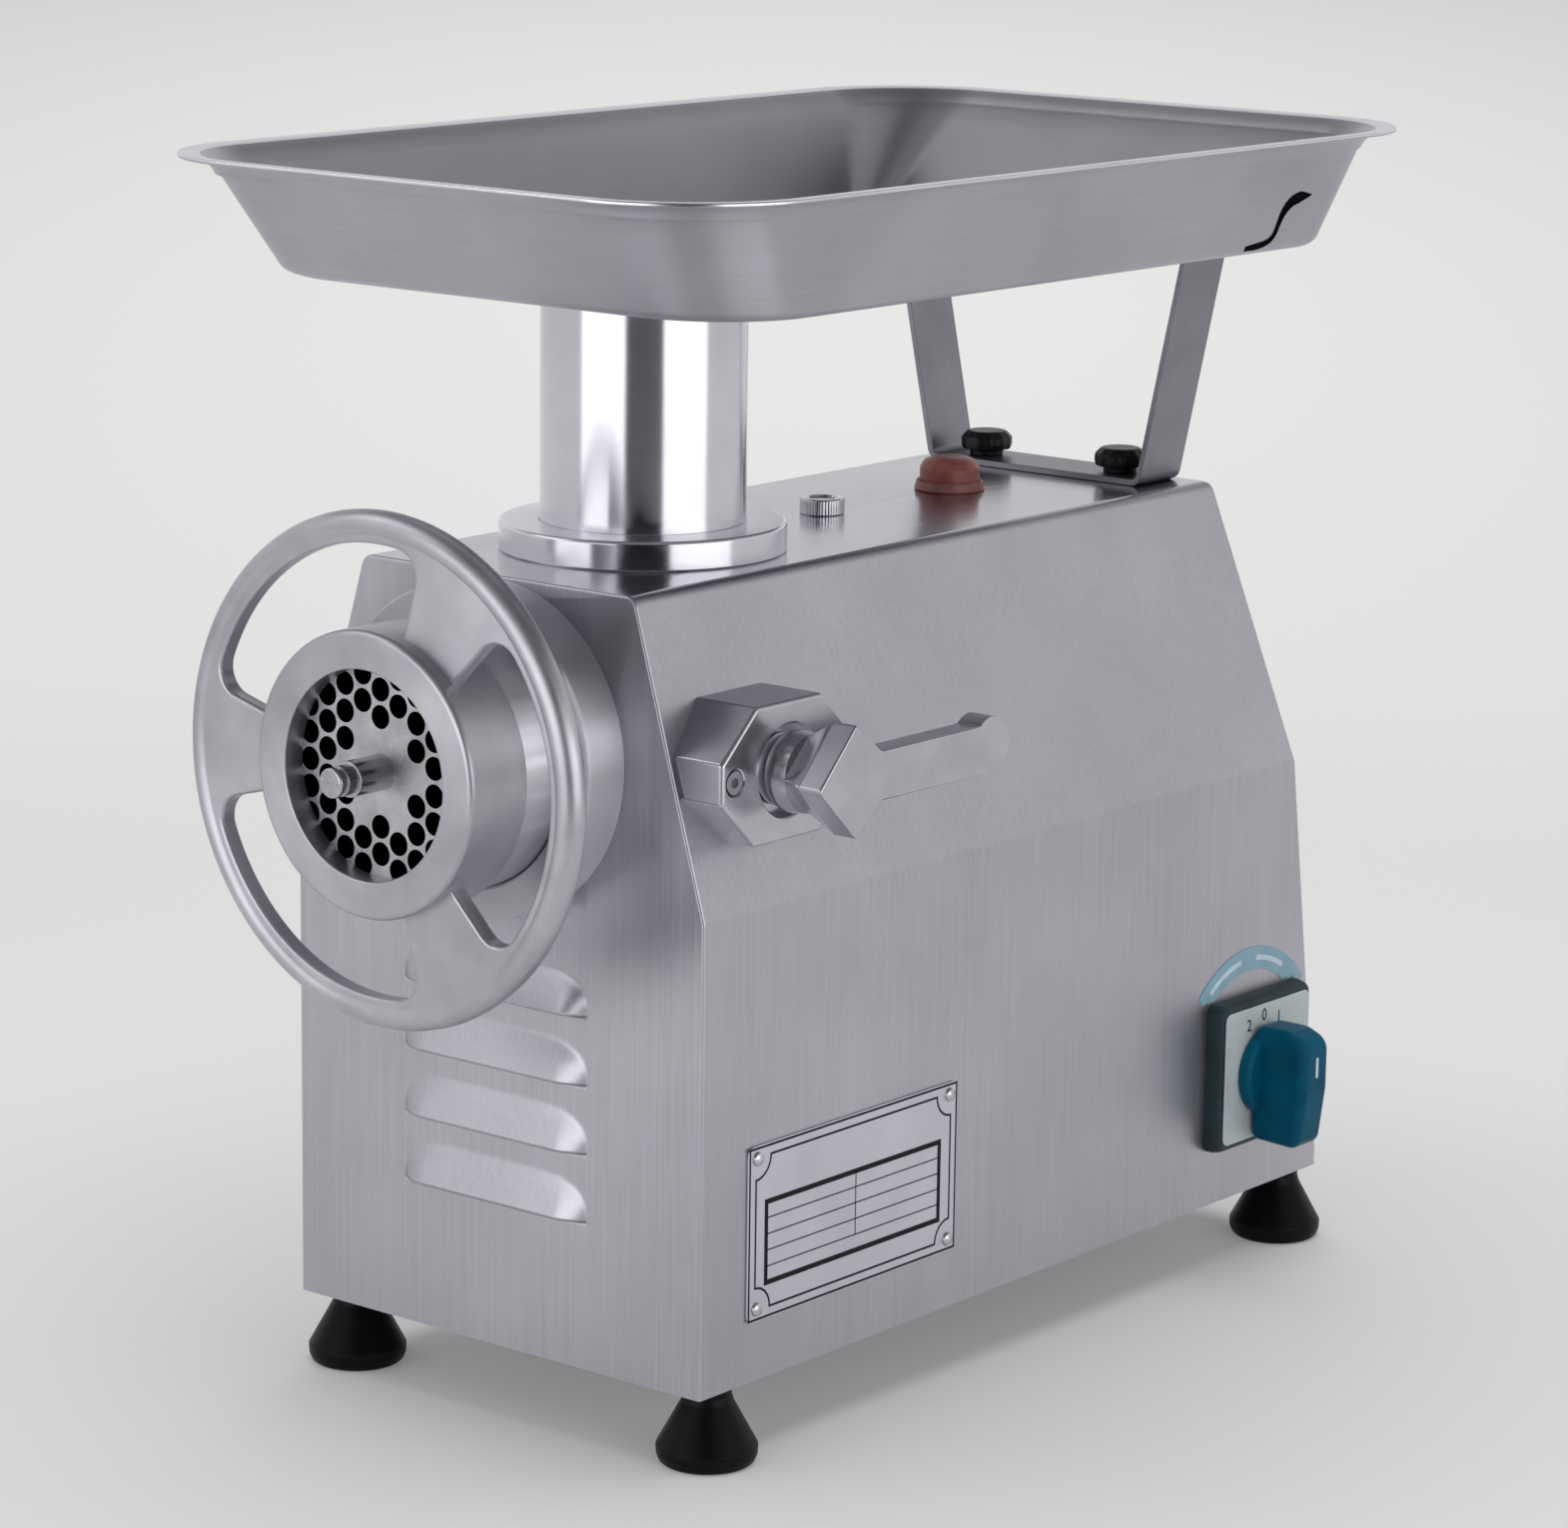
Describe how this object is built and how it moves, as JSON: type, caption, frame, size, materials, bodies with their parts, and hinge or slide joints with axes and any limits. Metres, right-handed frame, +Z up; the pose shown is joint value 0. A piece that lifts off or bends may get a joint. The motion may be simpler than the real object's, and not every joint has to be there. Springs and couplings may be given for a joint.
{
  "type": "meat grinder",
  "caption": "Electric bench meat grinder: leaning-sided steel housing, front outlet with wheel-shaped ring nut, feed tube under a deep tray, side lock lever and rotary switch.",
  "frame": {"origin": "middle of the four feet, on the worktop", "axes": "+Z up, -Y out of the grinding outlet, +X towards the lock lever and rotary switch"},
  "size_m": [0.265, 0.4748, 0.4405],
  "materials": {
    "stainless_sheet": "brushed stainless sheet",
    "bright_screws": "bright plated",
    "black_rubber": "moulded rubber",
    "nameplate_metal": "satin anodised",
    "arc_label_teal": "satin moulded, teal",
    "dark_green_plastic": "satin moulded, dark green",
    "black_plastic": "moulded, black",
    "red_plastic": "soft moulded, red",
    "polished_steel": "fine turned",
    "cast_alloy": "bead blasted casting",
    "polished_alloy": "polished",
    "auger_steel": "tinned casting",
    "black_screws": "black oxide",
    "iron_casting": "machined iron",
    "gear_steel": "hobbed, oiled",
    "bearing_steel": "ground",
    "case_alloy": "die cast",
    "motor_paint": "grey paint",
    "core_steel": "stacked laminations",
    "winding_copper": "enamelled copper",
    "can_metal": "drawn can",
    "terminal_plastic": "moulded, ivory"
  },
  "bodies": {
    "housing": {"housing_shell": "stainless_sheet", "rear_panel": "stainless_sheet", "rear_panel_screws": "bright_screws", "base_plate": "stainless_sheet", "rubber_feet": "black_rubber", "foot_screws": "bright_screws", "nameplate": "nameplate_metal", "nameplate_rivets": "bright_screws", "turn_label": "arc_label_teal", "switch_bezel": "dark_green_plastic", "switch_face": "nameplate_metal", "switch_body": "black_plastic", "reset_ring": "red_plastic", "reset_breaker": "black_plastic", "oil_plug": "polished_steel", "tray_bracket": "stainless_sheet", "head_barrel": "cast_alloy", "head_collar": "polished_alloy", "collar_screw": "black_screws", "head_socket": "iron_casting", "lock_boss": "cast_alloy", "lock_boss_screws": "black_screws", "hole_plate": "polished_steel", "plate_key": "polished_steel", "gear_bearings": "bearing_steel", "shaft_seal": "black_rubber", "gear_case": "case_alloy", "gear_cover": "case_alloy", "case_screws": "black_screws", "motor_frame": "motor_paint", "motor_bells": "case_alloy", "stator_core": "core_steel", "windings": "winding_copper", "motor_bearings": "bearing_steel", "fan_cowl": "motor_paint", "motor_saddles": "iron_casting", "capacitor": "can_metal", "terminal_block": "terminal_plastic", "cable_gland": "black_plastic"},
    "feed_tube": {"feed_tube": "polished_alloy", "feed_flange": "polished_alloy"},
    "tray": {"tray": "stainless_sheet", "tray_neck": "stainless_sheet"},
    "ring_nut": {"ring_nut": "cast_alloy"},
    "auger_train": {"auger": "auger_steel", "auger_stud": "auger_steel", "knife": "polished_steel", "drive_shaft": "gear_steel", "output_gear": "gear_steel"},
    "countershaft": {"countershaft": "gear_steel", "counter_gear": "gear_steel"},
    "motor_rotor": {"rotor": "core_steel", "motor_shaft": "gear_steel", "motor_fan": "black_plastic"},
    "lock_lever": {"lock_lever": "cast_alloy", "lock_screw": "polished_steel"},
    "switch_knob": {"switch_knob": "arc_label_teal"},
    "reset_button": {"reset_button": "red_plastic"},
    "bracket_knob_left": {"bracket_knob_left": "black_plastic"},
    "bracket_knob_right": {"bracket_knob_right": "black_plastic"}
  },
  "joints": [
    {"name": "feed_tube_lift", "type": "slide", "parent": "housing", "child": "feed_tube", "axis": [0, 0, 1], "range_m": [0, 0.03]},
    {"name": "tray_lift", "type": "slide", "parent": "feed_tube", "child": "tray", "axis": [0, 0, 1], "range_m": [0, 0.06]},
    {"name": "ring_nut_turn", "type": "hinge", "parent": "housing", "child": "ring_nut", "pos_m": [0, -0.2485, 0.243], "axis": [0, -1, 0], "range_deg": [0, 1400]},
    {"name": "motor_spin", "type": "hinge", "parent": "housing", "child": "motor_rotor", "pos_m": [0, 0.065, 0.13002], "axis": [0, -1, 0], "continuous": true},
    {"name": "countershaft_spin", "type": "hinge", "parent": "housing", "child": "countershaft", "pos_m": [-0.02023, -0.03, 0.18651], "axis": [0, -1, 0], "continuous": true},
    {"name": "auger_spin", "type": "hinge", "parent": "housing", "child": "auger_train", "pos_m": [0, -0.15, 0.243], "axis": [0, -1, 0], "continuous": true},
    {"name": "lock_lever_turn", "type": "hinge", "parent": "housing", "child": "lock_lever", "pos_m": [0.1, -0.155, 0.243], "axis": [1, 0, 0], "range_deg": [0, 150]},
    {"name": "switch_turn", "type": "hinge", "parent": "housing", "child": "switch_knob", "pos_m": [0.106, 0.135, 0.079], "axis": [1, 0, 0], "range_deg": [-60, 60]},
    {"name": "reset_press", "type": "slide", "parent": "housing", "child": "reset_button", "axis": [0, 0, -1], "range_m": [0, 0.0025], "stiffness_N_per_m": 1000, "springref_m": -0.002},
    {"name": "bracket_knob_left_turn", "type": "hinge", "parent": "housing", "child": "bracket_knob_left", "pos_m": [-0.032, 0.128, 0.31], "axis": [0, 0, 1], "range_deg": [0, 1000]},
    {"name": "bracket_knob_right_turn", "type": "hinge", "parent": "housing", "child": "bracket_knob_right", "pos_m": [0.032, 0.128, 0.31], "axis": [0, 0, 1], "range_deg": [0, 1000]}
  ],
  "couplings": [
    {"joint": "countershaft_spin", "follows": "motor_spin", "ratio": -0.33333},
    {"joint": "auger_spin", "follows": "motor_spin", "ratio": 0.11111}
  ]
}
